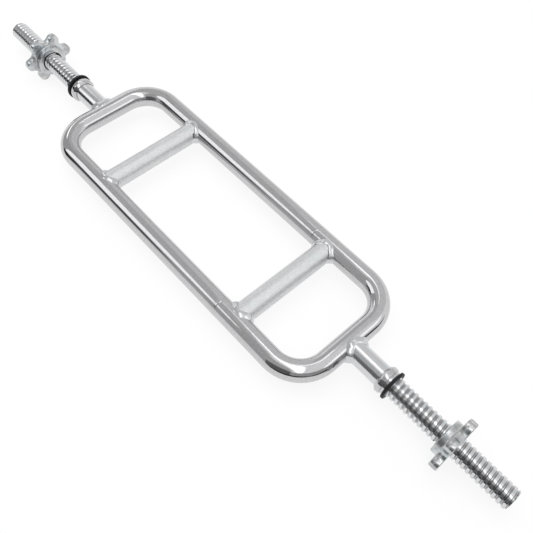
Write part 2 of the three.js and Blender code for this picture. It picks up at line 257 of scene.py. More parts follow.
class Wire:
    """One output of a node. Sums, products and the like of wires add Math nodes."""

    __add__, __radd__ = both_ways("ADD")
    __sub__, __rsub__ = both_ways("SUBTRACT")
    __mul__, __rmul__ = both_ways("MULTIPLY")
    __truediv__, __rtruediv__ = both_ways("DIVIDE")
    __pow__, __rpow__ = both_ways("POWER")
    __abs__ = one_way("ABSOLUTE")
    fraction, floor, root = one_way("FRACT"), one_way("FLOOR"), one_way("SQRT")
    sine, cosine = one_way("SINE"), one_way("COSINE")
    lower, higher = both_ways("MINIMUM")[0], both_ways("MAXIMUM")[0]

    def __init__(self, bench, socket):
        self.bench, self.socket = bench, socket

    def math(self, operation, *values):
        return self.bench.node("ShaderNodeMath", {"operation": operation},
                               dict(enumerate(values)))

    def other(self, output):
        """Another output of the same node."""
        return Wire(self.bench, self.socket.node.outputs[output])

    def eased(self, start, end):
        """0 before start, 1 after end and smooth between."""
        return self.bench.node(
            "ShaderNodeMapRange", {"interpolation_type": "SMOOTHSTEP"},
            {"Value": self, "From Min": start, "From Max": end, "To Min": 0, "To Max": 1})


class Bench:
    """A node tree that is being wired up."""

    def __init__(self, tree):
        self.tree = tree

    def node(self, kind, settings=None, values=None, output=0):
        """A node of a kind. Its settings are set first, then its sockets' values or wires."""
        made = self.tree.nodes.new(kind)
        for setting, value in (settings or {}).items():
            setattr(made, setting, value)
        for key, value in (values or {}).items():
            socket = self.socket_of(made.inputs, key)
            for wire in value if isinstance(value, list) else [value]:
                if isinstance(wire, Wire):
                    self.tree.links.new(wire.socket, socket)
                else:
                    socket.default_value = wire
        return Wire(self, self.socket_of(made.outputs, output)) if made.outputs else None

    @staticmethod
    def socket_of(sockets, key):
        """A socket by its number, its identifier or its name."""
        if isinstance(key, int):
            return sockets[key]
        return next((socket for socket in sockets if key == socket.identifier), None) or (
            sockets[key])

    def mixed(self, factor, first, second):
        """A colour between two colours."""
        first, second = (tone if isinstance(tone, Wire) else (*tone, 1)
                         for tone in (first, second))
        return self.node(
            "ShaderNodeMix", {"data_type": "RGBA", "clamp_factor": True},
            {"Factor_Float": factor, "A_Color": first, "B_Color": second}, "Result_Color")

    def vector(self, x, y, z):
        return self.node("ShaderNodeCombineXYZ", values={0: x, 1: y, 2: z})

    def apart(self, vector):
        """The x of a vector. Its y and z are the same node's other outputs."""
        return self.node("ShaderNodeSeparateXYZ", values={"Vector": vector})

    def noise(self, place, scale, detail=2.0, roughness=0.5):
        return self.node("ShaderNodeTexNoise", values={
            "Vector": place, "Scale": scale, "Detail": detail, "Roughness": roughness})

    def patches(self, place, scale, start, end, detail=2.0, roughness=0.5):
        """Patches of 1 in 0, where a noise rises from start to end."""
        return self.noise(place, scale, detail, roughness).eased(start, end)

    def bump(self, height, strength, distance):
        return self.node("ShaderNodeBump", values={
            "Height": height, "Strength": strength, "Distance": distance})


def bare_bench(holder):
    """The emptied node tree of a material or a world."""
    holder.use_nodes = True
    holder.node_tree.nodes.clear()
    return Bench(holder.node_tree)


def object_place(bench):
    return bench.node("ShaderNodeTexCoord", output="Object")


def fraction(value):
    return value.fraction() if isinstance(value, Wire) else value - math.floor(value)


def clamped(value):
    if isinstance(value, Wire):
        return value.higher(0).lower(1)
    return max(0, min(1, value))


def thread_height(station, turn, sleeve, extra_share=0):
    """The height of the thread from 0 in its root to 1 on its crest.

    turn is a share of a whole turn from +Y towards +Z. The crest's middle is at the same
    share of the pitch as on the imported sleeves.
    """
    half_pitch = 0.5
    off_crest = abs(fraction(station / sleeve.thread_pitch - turn - sleeve.crest_place
                             + half_pitch) - half_pitch)
    foot = sleeve.crest_share / 2 + sleeve.flank_share + extra_share
    climb = clamped((foot - off_crest) / sleeve.flank_share)
    return climb * climb * (3 - 2 * climb)


# Materials. Each function gives the values of a finish's shader.

def polished_chrome(bench, place, finish, seam_station=None):
    """Polished chrome over drawn bar: faint long waves, hairlines and slight tints."""
    short_waves, hairline_height, hairline_softness, mottle = 0.16, 0.012, 0.03, 0.55
    ground_start, ground_end, ground_softness, ground_waves = 0.003, 0.011, 0.16, 0.16
    waves = bench.noise(place, 38, detail=1.5) + short_waves * bench.noise(place, 150)
    hairlines = bench.noise(place, 1400, detail=3.0, roughness=0.6)
    clouds = 0.75 + 0.5 * bench.noise(place, 55)
    roughness = finish.chrome_roughness * clouds + hairline_softness * hairlines
    height = waves + hairline_height * hairlines
    if seam_station is not None:
        off_seam = abs(bench.apart(place) - seam_station)
        ground = 1 - off_seam.eased(ground_start, ground_end)
        blotches = bench.patches(place, 330, 0.42, 0.62, detail=3.0)
        roughness = roughness + ground_softness * ground * blotches
        height = height + ground_waves * ground * bench.noise(place, 420)
    specks = bench.patches(place, 520, 0.36, 0.62, detail=4.0, roughness=0.65)
    return {
        "Base Color": bench.mixed(mottle * specks, finish.chrome, finish.mottle),
        "Metallic": 1.0, "Roughness": roughness,
        "Normal": bench.bump(height, strength=0.35, distance=0.0004)}


def loop_chrome(bench, place, finish):
    """The polished chrome of the loop, ground a little duller beside the seam."""
    return polished_chrome(bench, place, finish, bpy.context.scene.loop_sizes.seam_station)


def thread_chrome(bench, place, finish):
    """Chrome of the rolled thread, a little duller and cooler than the bar's, with painted shade
    in its roots.
    """
    sizes = bpy.context.scene.sleeve_sizes
    crest = sizes.crest_diameter / 2
    crest_edge, neck_end, neck_fade = crest - 0.0003, 0.270, 0.004
    grain = bench.noise(place, 700, detail=3.0)
    patches = bench.patches(place, 260, 0.45, 0.75)
    along = bench.apart(place)
    off_axis = (along.other("Y") ** 2 + along.other("Z") ** 2).root()
    # in_groove marks the roots. There it darkens the colour with painted shade and makes the
    # chrome rougher.
    in_groove = 1 - off_axis.eased(crest - sizes.thread_depth, crest_edge)
    on_neck = 1 - abs(along).eased(neck_end, neck_end + neck_fade)
    tone = bench.mixed(0.45 * patches, finish.thread, finish.tint_cool)
    return {
        "Base Color": bench.mixed(0.7 * in_groove, tone, finish.groove), "Metallic": 1.0,
        "Roughness": 0.04 + 0.05 * grain + 0.10 * in_groove + 0.10 * on_neck,
        "Normal": bench.bump(grain, strength=0.35, distance=0.00016)}


def weld_chrome(bench, place, finish):
    """Chrome over a weld bead: small lumps and a brighter, uneven surface."""
    lumps = bench.noise(place, 300, detail=2.5, roughness=0.55)
    pits = bench.node("ShaderNodeTexVoronoi", {"feature": "SMOOTH_F1"},
                      {"Vector": place, "Scale": 620.0, "Smoothness": 0.6})
    return {
        "Base Color": bench.mixed(0.1 * lumps, finish.weld, finish.tint_cool),
        "Metallic": 1.0, "Roughness": 0.13 + 0.12 * lumps,
        "Normal": bench.bump(lumps + 0.2 * pits, strength=0.4, distance=0.0004)}


def satin_chrome(bench, place, finish):
    """Chrome over a fine knurl, matt from a distance."""
    grain = bench.noise(place, 1500)
    specks = bench.patches(place, 620, 0.40, 0.62, detail=4.0, roughness=0.7)
    clouds = bench.patches(place, 48, 0.4, 0.7)
    tone = bench.mixed(0.2 * clouds, finish.satin, finish.tint_cool)
    return {
        "Base Color": bench.mixed(0.5 * specks, tone, finish.chrome), "Metallic": 1.0,
        "Roughness": finish.satin_roughness * (0.85 + 0.3 * grain),
        "Normal": bench.bump(grain, strength=0.25, distance=0.0001)}


def cast_plating(bench, place, finish):
    """Bright plating over a casting: soft lumps, fine pits and cool and warm tints."""
    lumps = bench.noise(place, 90)
    pits = bench.noise(place, 800, detail=3.0)
    cool = bench.patches(place, 75, 0.45, 0.7)
    warm = bench.patches(place, 52, 0.52, 0.75, detail=1.0)
    dull = bench.patches(place, 115, 0.42, 0.66, detail=3.0)
    tone = bench.mixed(0.35 * cool, finish.plating, finish.tint_cool)
    tone = bench.mixed(0.35 * warm, tone, finish.tint_warm)
    return {
        "Base Color": bench.mixed(0.6 * dull, tone, finish.dull_plating), "Metallic": 1.0,
        "Roughness": 0.19 + 0.12 * pits + 0.08 * dull,
        "Normal": bench.bump(lumps + 0.10 * pits, strength=0.30, distance=0.0004)}


def black_rubber(bench, place, finish):
    """Black moulded rubber with a fine grain and slightly dusty highs."""
    grain = bench.noise(place, 1900, detail=3.0)
    dust = bench.patches(place, 240, 0.5, 0.8, detail=3.0)
    dust_tone = 0.022
    dusty = tuple(channel + dust_tone for channel in finish.rubber)
    return {
        "Base Color": bench.mixed(0.4 * dust, finish.rubber, dusty),
        "Specular IOR Level": 0.28, "Roughness": 0.46 + 0.2 * grain,
        "Normal": bench.bump(grain, strength=0.4, distance=0.0001)}


FINISH_MAKERS = {
    "Loop chrome": loop_chrome, "Polished chrome": polished_chrome,
    "Thread chrome": thread_chrome, "Weld chrome": weld_chrome,
    "Satin knurl": satin_chrome, "Cast plating": cast_plating, "Black rubber": black_rubber,
}


def material(name):
    """A finish by name, made when it is first asked for."""
    made = bpy.data.materials.get(name)
    if made is None:
        made = bpy.data.materials.new(name)
        bench = bare_bench(made)
        values = FINISH_MAKERS[name](bench, object_place(bench), bpy.context.scene.finishes)
        shader = bench.node("ShaderNodeBsdfPrincipled", values=values)
        bench.node("ShaderNodeOutputMaterial", values={"Surface": shader})
    return made


# Meshes.

def put(name, data):
    """A new object in the scene."""
    holder = bpy.data.objects.new(name, data)
    bpy.context.scene.collection.objects.link(holder)
    return holder


def finish_piece(name, mesh, material_name, node, body="bar", turned=None):
    """Makes a mesh into a piece that stands for its CAD node and rides on its body."""
    edited = bmesh.new()
    edited.from_mesh(mesh)
    bmesh.ops.remove_doubles(edited, verts=edited.verts, dist=JOIN_DISTANCE)
    bmesh.ops.dissolve_degenerate(edited, edges=edited.edges, dist=JOIN_DISTANCE)
    if turned is not None:
        edited.transform(turned)
    bmesh.ops.recalc_face_normals(edited, faces=edited.faces)
    edited.to_mesh(mesh)
    edited.free()
    mesh.name = name
    mesh.materials.clear()
    mesh.materials.append(material(material_name))
    for face in mesh.polygons:
        face.material_index = 0
    mesh.shade_smooth()
    mesh.set_sharp_from_angle(angle=SHARP_ANGLE)
    piece = put(name, mesh)
    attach(piece, body)
    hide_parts(node)


def end_piece(end, name, mesh, material_name, node, body="bar"):
    """A piece drawn at the near end. The far one is turned half a turn about Z."""
    finish_piece(f"{end}_{name}", mesh, material_name, f"{end}_{node}", body,
                 HALF_TURN_ABOUT_Z if end == "far" else None)


def heading(turn):
    """The way at this turn in a plane."""
    return Vector((math.cos(turn), math.sin(turn)))


def quarter_turn(steps):
    """The sines and cosines of even steps from no turn to a quarter turn."""
    turns = [QUARTER_TURN * step / steps for step in range(steps + 1)]
    return [(math.sin(turn), math.cos(turn)) for turn in turns]


def mesh_of_rings(rings, closed=False):
    """A mesh through rings of as many points each, closed on itself or capped at its ends."""
    mesh = bpy.data.meshes.new("rings")
    size = len(rings[0])
    points = [point for ring in rings for point in ring]
    faces = []
    for step in range(len(rings) if closed else len(rings) - 1):
        low, high = step * size, (step + 1) % len(rings) * size
        for side in range(size):
            after = (side + 1) % size
            faces.append((low + side, low + after, high + after, high + side))
    if not closed:
        faces.append(tuple(range(size)))
        faces.append(tuple(range(len(points) - size, len(points))))
    mesh.from_pydata(points, [], faces)
    return mesh


def rounded_outline(corners, steps=4):
    """An outline whose corners are rounded. A corner is (station, radius, rounding)."""
    outline = []
    for i, (station, radius, rounding) in enumerate(corners):
        corner = Vector((station, radius))
        if not rounding:
            outline.append(tuple(corner))
            continue
        before = Vector(corners[i - 1][:2]) - corner
        after = Vector(corners[(i + 1) % len(corners)][:2]) - corner
        half = before.angle(after) / 2
        run = min(rounding / math.tan(half), before.length / 2, after.length / 2)
        start, end = corner + before.normalized() * run, corner + after.normalized() * run
        for step in range(steps + 1):
            t = step / steps
            outline.append(tuple(start * (1 - t) ** 2 + corner * 2 * t * (1 - t) + end * t * t))
    return outline


def turned_about_x(corners, sides=96):
    """A closed ring turned about X from its corners in order round the section."""
    turns = [FULL_TURN * side / sides for side in range(sides)]
    return mesh_of_rings([
        [(station, radius * math.cos(turn), radius * math.sin(turn)) for turn in turns]
        for station, radius in rounded_outline(corners)], closed=True)


def saddle_bead(bar_radius, branch_radius, leg, seed):
    """The weld round the foot of a branch along +X from a bar along Y at the origin.

    A ring of sections: a toe on the branch, a rounded face with ripples, a toe on the bar,
    and a root inside the joint.
    """
    around, across = 168, 8
    toe_depth, rise, face_share, root_share = 0.0006, 0.00015, 0.8, 0.5
    ripples, ripple_height, lump_height, round_share = 17, 0.00005, 0.00022, 0.42
    rings = []
    for step in range(around):
        turn = FULL_TURN * step / around
        side, up = math.sin(turn), math.cos(turn)
        outward = Vector((0, side, up))
        bar_depth = max(bar_radius ** 2 - (branch_radius * up) ** 2, 0)
        corner = outward * branch_radius
        corner.x = math.hypot(math.sqrt(bar_depth), round_share * bar_radius)
        bar_outward = Vector((corner.x, 0, corner.z)).normalized()
        face_normal = (bar_outward + outward).normalized()
        opening = outward.angle(bar_outward)
        ripple = ripple_height * math.sin(ripples * turn + 1.6 * math.sin(3 * turn + seed))
        lump = lump_height * (math.sin(3 * turn + 1.7 * seed) + math.sin(7 * turn + seed)
                              + math.sin(11 * turn + 2.9 * seed)) / 3
        swell = 1 + 0.10 * math.sin(4 * turn + 2.3 * seed) + 0.06 * math.sin(9 * turn + seed)
        reach_out = leg * swell
        height = face_share * reach_out * math.sin(opening / 2) + rise
        climb = math.atan2(corner.z, corner.x)
        lie = Vector((math.sin(climb), side)).normalized() * reach_out
        bar_turn = climb + lie.x / bar_radius
        bar_toe = bar_radius - toe_depth
        branch_toe = Vector((corner.x + reach_out, *(
            (branch_radius - toe_depth) * part for part in (side, up))))
        bar_foot = Vector((bar_toe * math.cos(bar_turn), corner.y + lie.y,
                           bar_toe * math.sin(bar_turn)))
        middle = corner + face_normal * (height + lump)
        control = middle * 2 - (branch_toe + bar_foot) / 2
        section = []
        for place in range(across + 1):
            t = place / across
            point = branch_toe * (1 - t) ** 2 + control * 2 * t * (1 - t) + bar_foot * t * t
            section.append(point + face_normal * ripple * math.sin(math.pi * t))
        section.append(corner - face_normal * root_share * leg)
        rings.append([tuple(point) for point in section])
    return mesh_of_rings(rings, closed=True)


def seam_bead(loop, side):
    """The butt weld between the two halves, ground nearly flush, with a slightly uneven edge."""
    sides, rows, drift_reach, crown_swing = 96, 8, 0.00022, 0.4
    rings = []
    for row in range(rows + 1):
        across = row / rows
        crown = loop.seam_crown * math.sin(math.pi * across)
        ring = []
        for step in range(sides):
            turn = FULL_TURN * step / sides
            drift = drift_reach * (math.sin(5 * turn) + math.sin(8 * turn + 1)) * (across - 0.5)
            reach = loop.bar_diameter / 2 + crown * (1 + crown_swing * math.sin(11 * turn + 2))
            station = loop.seam_station + loop.seam_width * (across - 0.5) + drift
            ring.append((station, side * loop.loop_width / 2 + reach * math.cos(turn),
                         reach * math.sin(turn)))
        rings.append(ring)
    return mesh_of_rings(rings)


def star_points(collar, steps=16):
    """Where the star's outline runs: (middle, radius, angle, side) for each of its points.
    side is 1 on a prong's round tip and -1 in a hollow between prongs."""
    spacing = FULL_TURN / collar.prongs
    tip_middle = collar.prong_reach - collar.tip_radius
    inset = collar.tip_radius - collar.valley_reach
    hollow_middle = (tip_middle ** 2 - inset ** 2) / (
        2 * (inset + tip_middle * math.cos(spacing / 2)))
    hollow_radius = hollow_middle - collar.valley_reach
    meet = math.atan2(hollow_middle * math.sin(spacing / 2),
                      hollow_middle * math.cos(spacing / 2) - tip_middle)
    half = meet - spacing / 2
    points = []
    for prong in range(collar.prongs):
        tip_turn = spacing * (prong + 0.5)
        hollow_turn = tip_turn + spacing / 2
        tip = heading(tip_turn) * tip_middle
        hollow = heading(hollow_turn) * hollow_middle
        points += [(tip, collar.tip_radius, tip_turn - meet + 2 * meet * step / steps, 1)
                   for step in range(steps)]
        points += [(hollow, hollow_radius,
                    hollow_turn + math.pi + half - 2 * half * step / steps, -1)
                   for step in range(steps)]
    return points


def star_collar_mesh(collar, sleeve, hub_face):
    """A star collar: rings from the bore's inner mouth over the hub and star and back
    through the threaded bore. Across a ring, the outline's y stays Y and its x becomes -Z."""
    draft, ridge, ridge_half, face_step = 0.00022, 0.00012, 0.00035, 0.0003
    hub_edge, hub_fillet, mouth_step, thread_play = 0.001, 0.0012, 0.0002, 0.06
    edge_steps, bore_rows = 5, 44
    quarter = quarter_turn(edge_steps)
    bore = sleeve.crest_diameter / 2 + collar.bore_clearance
    seat, hub = collar.ring_diameter / 2, collar.hub_diameter / 2
    inner = hub_face + collar.hub_height
    outer = inner + collar.thickness
    middle = (inner + outer) / 2
    seat_end = hub_face + collar.ring_depth
    bore_end = outer - collar.countersink
    edge, mouth = collar.edge, bore + collar.countersink
    outline = star_points(collar)

    def outline_point(centre, radius, turn):
        return centre + heading(turn) * radius

    directions = [outline_point(*point[:3]).normalized() for point in outline]

    def star(station, inset):
        points = [outline_point(centre, radius - side * inset, turn)
                  for centre, radius, turn, side in outline]
        return [(station, point.y, -point.x) for point in points]

    def circle(station, radius):
        return [(station, radius * way.y, -radius * way.x) for way in directions]

    def running_bore(station):
        ring = []
        for way in directions:
            turn = math.atan2(-way.x, way.y) / FULL_TURN
            height = thread_height(station, turn, sleeve, extra_share=thread_play)
            radius = bore - sleeve.thread_depth * (1 - height)
            ring.append((station, radius * way.y, -radius * way.x))
        return ring

    rings = [circle(seat_end, bore), circle(seat_end, seat), circle(hub_face, seat)]
    rings += [circle(hub_face + hub_edge * (1 - cosine), hub - hub_edge * (1 - sine))
              for sine, cosine in quarter]
    rings += [circle(inner - hub_fillet * (1 - sine), hub + hub_fillet * (1 - cosine))
              for sine, cosine in quarter]
    rings.append(star(inner, edge + draft + face_step))
    rings += [star(inner + edge * (1 - cosine), draft + edge * (1 - sine))
              for sine, cosine in quarter]
    rings += [star(middle - ridge_half, ridge), star(middle - ridge_half / 3, 0),
              star(middle + ridge_half / 3, 0), star(middle + ridge_half, ridge)]
    rings += [star(outer - edge * (1 - sine), draft + edge * (1 - cosine))
              for sine, cosine in quarter]
    rings += [star(outer, edge + draft + face_step), circle(outer, mouth + mouth_step),
              circle(outer, mouth), circle(bore_end, bore)]
    rings += [running_bore(bore_end + (seat_end - bore_end) * row / bore_rows)
              for row in range(bore_rows + 1)]
    return mesh_of_rings(rings, closed=True)


# Shapes from trees of geometry nodes.

def shape_tree(name, inputs, build):
    """A tree of geometry nodes with named inputs. build takes the bench and their wires."""
    tree = bpy.data.node_groups.new(name, "GeometryNodeTree")
    kinds = {float: "NodeSocketFloat", int: "NodeSocketInt"}
    for label, default in inputs.items():
        socket = tree.interface.new_socket(label, in_out="INPUT",
                                           socket_type=kinds[type(default)])
        socket.default_value = default
    tree.interface.new_socket("Finish", in_out="INPUT", socket_type="NodeSocketMaterial")
    tree.interface.new_socket("Shape", in_out="OUTPUT", socket_type="NodeSocketGeometry")
    bench = Bench(tree)
    entry = bench.node("NodeGroupInput")
    shape = build(bench, {label: entry.other(label) for label in inputs})
    real = bench.node("GeometryNodeRealizeInstances", values={"Geometry": shape})
    finished = bench.node("GeometryNodeSetMaterial", values={
        "Geometry": real, "Material": entry.other("Finish")})
    bench.node("NodeGroupOutput", values={"Shape": finished})
    return tree


def mesh_from_tree(name, build, values, material_name):
    """The plain mesh that a tree makes with these values. Its first use builds the tree."""
    tree = bpy.data.node_groups.get(name) or shape_tree(name, values, build)
    holder = put(name, bpy.data.meshes.new(name))
    modifier = holder.modifiers.new("Shape", "NODES")
    modifier.node_group = tree
    for socket in tree.interface.items_tree:
        if socket.in_out == "INPUT":
            modifier[socket.identifier] = (
                material(material_name) if socket.name == "Finish" else values[socket.name])
    holder.update_tag()
    evaluated = holder.evaluated_get(bpy.context.evaluated_depsgraph_get())
    mesh = bpy.data.meshes.new_from_object(evaluated)
    holder.modifiers.clear()
    bpy.data.objects.remove(holder)
    return mesh


def bent_bar(bench, size):
    """A bar bent to a U: a line of four places, its corners rounded, swept with a circle."""
    half_width = size["Width"] / 2
    across = [bench.vector(x, y, 0) for x, y in (
        (size["From"], -1 * half_width), (size["To"], -1 * half_width),
        (size["To"], half_width), (size["From"], half_width))]
    line = bench.node("GeometryNodeCurvePrimitiveQuadrilateral", {"mode": "POINTS"},
                      {f"Point {i + 1}": place for i, place in enumerate(across)})
    line = bench.node("GeometryNodeSetSplineCyclic", values={
        "Geometry": line, "Cyclic": False})
    line = bench.node("GeometryNodeFilletCurve", {"mode": "POLY"}, {
        "Curve": line, "Radius": size["Corner Radius"], "Count": size["Bend Steps"]})
    section = bench.node("GeometryNodeCurvePrimitiveCircle", values={
        "Resolution": size["Sides"], "Radius": size["Diameter"] / 2})
    return bench.node("GeometryNodeCurveToMesh", values={
        "Curve": line, "Profile Curve": section, "Fill Caps": True})


def wrapped_sheet(bench, rows, columns, place):
    """A sheet wrapped to a tube. place gives x, y and z from a row's number and the turn,
    which is a share of a whole turn."""
    sheet = bench.node("GeometryNodeMeshGrid", values={
        "Size X": rows, "Size Y": columns, "Vertices X": rows + 1, "Vertices Y": columns + 1})
    flat = bench.apart(bench.node("GeometryNodeInputPosition"))
    row = flat + rows / 2
    turn = (flat.other("Y") + columns / 2) / columns
    return bench.node("GeometryNodeSetPosition", values={
        "Geometry": sheet, "Position": bench.vector(*place(row, turn))})


def sealed(bench, sheets):
    """Sheets joined to one closed skin."""
    joined = bench.node("GeometryNodeJoinGeometry", values={"Geometry": sheets})
    return bench.node("GeometryNodeMergeByDistance", values={
        "Geometry": joined, "Distance": JOIN_DISTANCE})


def across_axis(reach, turn):
    """The two places across a tube's axis at this reach and share of a turn."""
    angle = turn * FULL_TURN
    return reach * angle.cosine(), reach * angle.sine()


def cope(size, reach, turn):
    """How far the loop's bar stands out beside a tube, at this reach and turn of the tube."""
    height = reach * (turn * FULL_TURN).sine()
    return (size["Cope Radius"] ** 2 - height * height).root()


def threaded_sleeve(bench, size):
    """A sleeve coped to the loop, plain to its thread, with the thread to a chamfered end."""
    cap_rows, neck_rows, chamfer_rows, face_rows, spare_turns = 6, 14, 4, 4, 4
    sleeve = bpy.context.scene.sleeve_sizes
    neck, crest = size["Neck Radius"], size["Crest Radius"]
    start, end = size["Thread Start"], size["Sleeve End"]
    chamfer_start = end - size["Chamfer"]

    def thread_radius(station, turn):
        return crest - size["Thread Depth"] * (1 - thread_height(station, turn, sleeve))

    def cap(row, turn):
        radius = neck * row / cap_rows
        return size["Loop End"] + cope(size, radius, turn), *across_axis(radius, turn)

    def plain(row, turn):
        along = (row / (neck_rows - 1)).lower(1)
        on_shoulder = (row - (neck_rows - 1)).higher(0)
        first = size["Loop End"] + cope(size, neck, turn)
        station = first + (start - first) * along
        radius = neck + (thread_radius(station, turn) - neck) * on_shoulder
        return station, *across_axis(radius, turn)

    def threaded(row, turn):
        whole = (start / size["Pitch"]).floor() - 1
        raw = (whole + row / size["Steps Per Pitch"] + turn) * size["Pitch"]
        station = raw.higher(start).lower(chamfer_start)
        return station, *across_axis(thread_radius(station, turn), turn)

    def chamfered(row, turn):
        drop = size["Chamfer"] * row / chamfer_rows
        station = chamfer_start + drop
        return station, *across_axis(thread_radius(station, turn).lower(crest - drop), turn)

    def face(row, turn):
        rim = thread_radius(end + turn * 0, turn).lower(crest - size["Chamfer"])
        return end + row * 0, *across_axis(rim * (1 - row / face_rows), turn)

    turns = ((end - start) / size["Pitch"]).floor() + spare_turns
    return sealed(bench, [wrapped_sheet(bench, rows, size["Around"], place) for rows, place in (
        (cap_rows, cap), (neck_rows, plain), (turns * size["Steps Per Pitch"], threaded),
        (chamfer_rows, chamfered), (face_rows, face))])


def knurled_grip(bench, size):
    """A grip along Y: a diamond knurl, plain ends, and both ends coped to the loop."""
    end_rows, cap_rows, steps_per_diamond = 5, 5, 4
    radius, half = size["Radius"], size["Knurled Length"] / 2
    around = size["Diamonds Around"] * steps_per_diamond
    rows = (size["Knurled Length"] / size["Knurl Pitch"]).floor() * steps_per_diamond

    def at(along, reach, turn):
        side, up = across_axis(reach, turn)
        return size["Station"] + side, along, up

    def knurled(row, turn):
        along = (row / rows - 0.5) * size["Knurled Length"]
        round_count = turn * size["Diamonds Around"]
        along_count = row / steps_per_diamond
        grooves = [1 - abs(2 * fraction(lean) - 1) for lean in (
            round_count + along_count, round_count - along_count + rows)]
        fade = (half - abs(along)).eased(0, size["Knurl Pitch"])
        depth = size["Knurl Depth"] * fade * (1 - grooves[0].lower(grooves[1]))
        return at(along, radius - depth, turn)

    def ends(side):
        def last(reach, turn):
            return size["Side Station"] - cope(size, reach, turn)

        def plain(row, turn):
            along = half + (last(radius + row * 0, turn) - half) * row / end_rows
            return at(side * along, radius, turn)

        def cap(row, turn):
            reach = radius * row / cap_rows
            return at(side * last(reach, turn), reach, turn)
        return [wrapped_sheet(bench, end_rows, around, plain),
                wrapped_sheet(bench, cap_rows, around, cap)]
    return sealed(bench, [wrapped_sheet(bench, rows, around, knurled), *ends(1), *ends(-1)])


# Pieces.

class TRICEPS_OT_loop(bpy.types.Operator):
    """Make the two bent halves of the loop and the butt welds between them"""

    bl_idname = "triceps_bar.make_loop"
    bl_label = "Loop"

    def execute(self, context):
        loop = context.scene.loop_sizes
        for end, side in ENDS:
            mesh = mesh_from_tree("Bent bar", bent_bar, {
                "From": loop.seam_station + side * loop.seam_width / 2,
                "To": side * loop.loop_length / 2, "Width": loop.loop_width,
                "Corner Radius": loop.corner_radius, "Diameter": loop.bar_diameter,
                "Sides": loop.bar_sides, "Bend Steps": loop.bend_steps}, "Loop chrome")
            finish_piece(f"{end}_loop_bar", mesh, "Loop chrome",
                         f"{end}_loop_half")
        for hand, side in HANDS:
            finish_piece(f"{hand}_seam_bead", seam_bead(loop, side), "Loop chrome",
                         f"{hand}_seam_weld")
        return {"FINISHED"}


class TRICEPS_OT_grips(bpy.types.Operator):
    """Make the two knurled cross grips and the welds at their feet"""

    bl_idname = "triceps_bar.make_grips"
    bl_label = "Grips"

    def execute(self, context):
        loop, grip = context.scene.loop_sizes, context.scene.grip_sizes
        bar_radius = loop.bar_diameter / 2
        for end, direction in ENDS:
            station = direction * grip.spacing / 2
            mesh = mesh_from_tree("Knurled grip", knurled_grip, {
                "Station": station, "Side Station": loop.loop_width / 2,
                "Cope Radius": bar_radius + GAP, "Radius": grip.diameter / 2,
                "Knurled Length": grip.knurled_length, "Knurl Pitch": grip.knurl_pitch,
                "Knurl Depth": grip.knurl_depth, "Diamonds Around": grip.knurl_count},
                "Satin knurl")
            finish_piece(f"{end}_knurled_grip", mesh, "Satin knurl",
                         f"{end}_grip")
            for hand, side in HANDS:
                seed = direction + 2.5 * side
                bead = saddle_bead(bar_radius, grip.diameter / 2, grip.weld_leg, seed)
                place = Matrix.Translation((station, side * loop.loop_width / 2, 0))
                facing = Matrix.Rotation(-side * QUARTER_TURN, 4, "Z")
                finish_piece(f"{end}_grip_{hand}_bead", bead, "Weld chrome",
                             f"{end}_grip_{hand}_weld", turned=place @ facing)
        return {"FINISHED"}


class TRICEPS_OT_sleeves(bpy.types.Operator):
    """Make the two threaded sleeves and the welds at their feet"""

    bl_idname = "triceps_bar.make_sleeves"
    bl_label = "Sleeves"

    def execute(self, context):
        loop, sleeve = context.scene.loop_sizes, context.scene.sleeve_sizes
        bar_radius = loop.bar_diameter / 2
        for step, (end, _) in enumerate(ENDS):
            mesh = mesh_from_tree("Threaded sleeve", threaded_sleeve, {
                "Loop End": loop.loop_length / 2, "Cope Radius": bar_radius + GAP,
                "Neck Radius": sleeve.neck_diameter / 2, "Thread Start": sleeve.thread_start,
                "Sleeve End": sleeve.sleeve_end, "Pitch": sleeve.thread_pitch,
                "Crest Radius": sleeve.crest_diameter / 2,
                "Thread Depth": sleeve.thread_depth, "Chamfer": sleeve.end_chamfer,
                "Around": 96, "Steps Per Pitch": 20}, "Thread chrome")
            end_piece(end, "threaded_sleeve", mesh, "Thread chrome", "sleeve")
            seed = 4.1 + 1.3 * step
            bead = saddle_bead(bar_radius, sleeve.neck_diameter / 2, sleeve.weld_leg, seed)
            bead.transform(Matrix.Translation((loop.loop_length / 2, 0, 0)))
            end_piece(end, "sleeve_bead", bead, "Weld chrome", "sleeve_weld")
        return {"FINISHED"}


class TRICEPS_OT_stops(bpy.types.Operator):
    """Make the stops that plates are pushed against and their rubber washers"""

    bl_idname = "triceps_bar.make_stops"
    bl_label = "Stops"

    def execute(self, context):
        stop = context.scene.stop_sizes
        bore, ring, rim, washer = (diameter / 2 for diameter in (
            stop.bore_diameter, stop.ring_diameter, stop.rim_diameter, stop.washer_diameter))
        washer_back = stop.washer_face - stop.washer_thickness
        lip, ring_taper = 0.0005, 0.0004
        for end, _ in ENDS:
            collar = turned_about_x([
                (stop.bevel_station, bore, 0), (stop.bevel_station, bore + lip, 0.0002),
                (stop.ring_station, ring, 0.0008),
                (stop.rim_station, ring - ring_taper, 0.0006), (stop.rim_station, rim, 0.0003),
                (stop.face_station, rim, 0.0004), (stop.face_station, bore, 0)])
            end_piece(end, "plate_stop", collar, "Polished chrome",
                      "stop_collar")
            rubber = turned_about_x([
                (washer_back, bore, 0), (washer_back, washer, 0.0005),
                (stop.washer_face, washer, 0.0005), (stop.washer_face, bore, 0.0002)])
            end_piece(end, "rubber_washer", rubber, "Black rubber",
                      "stop_washer")
        return {"FINISHED"}


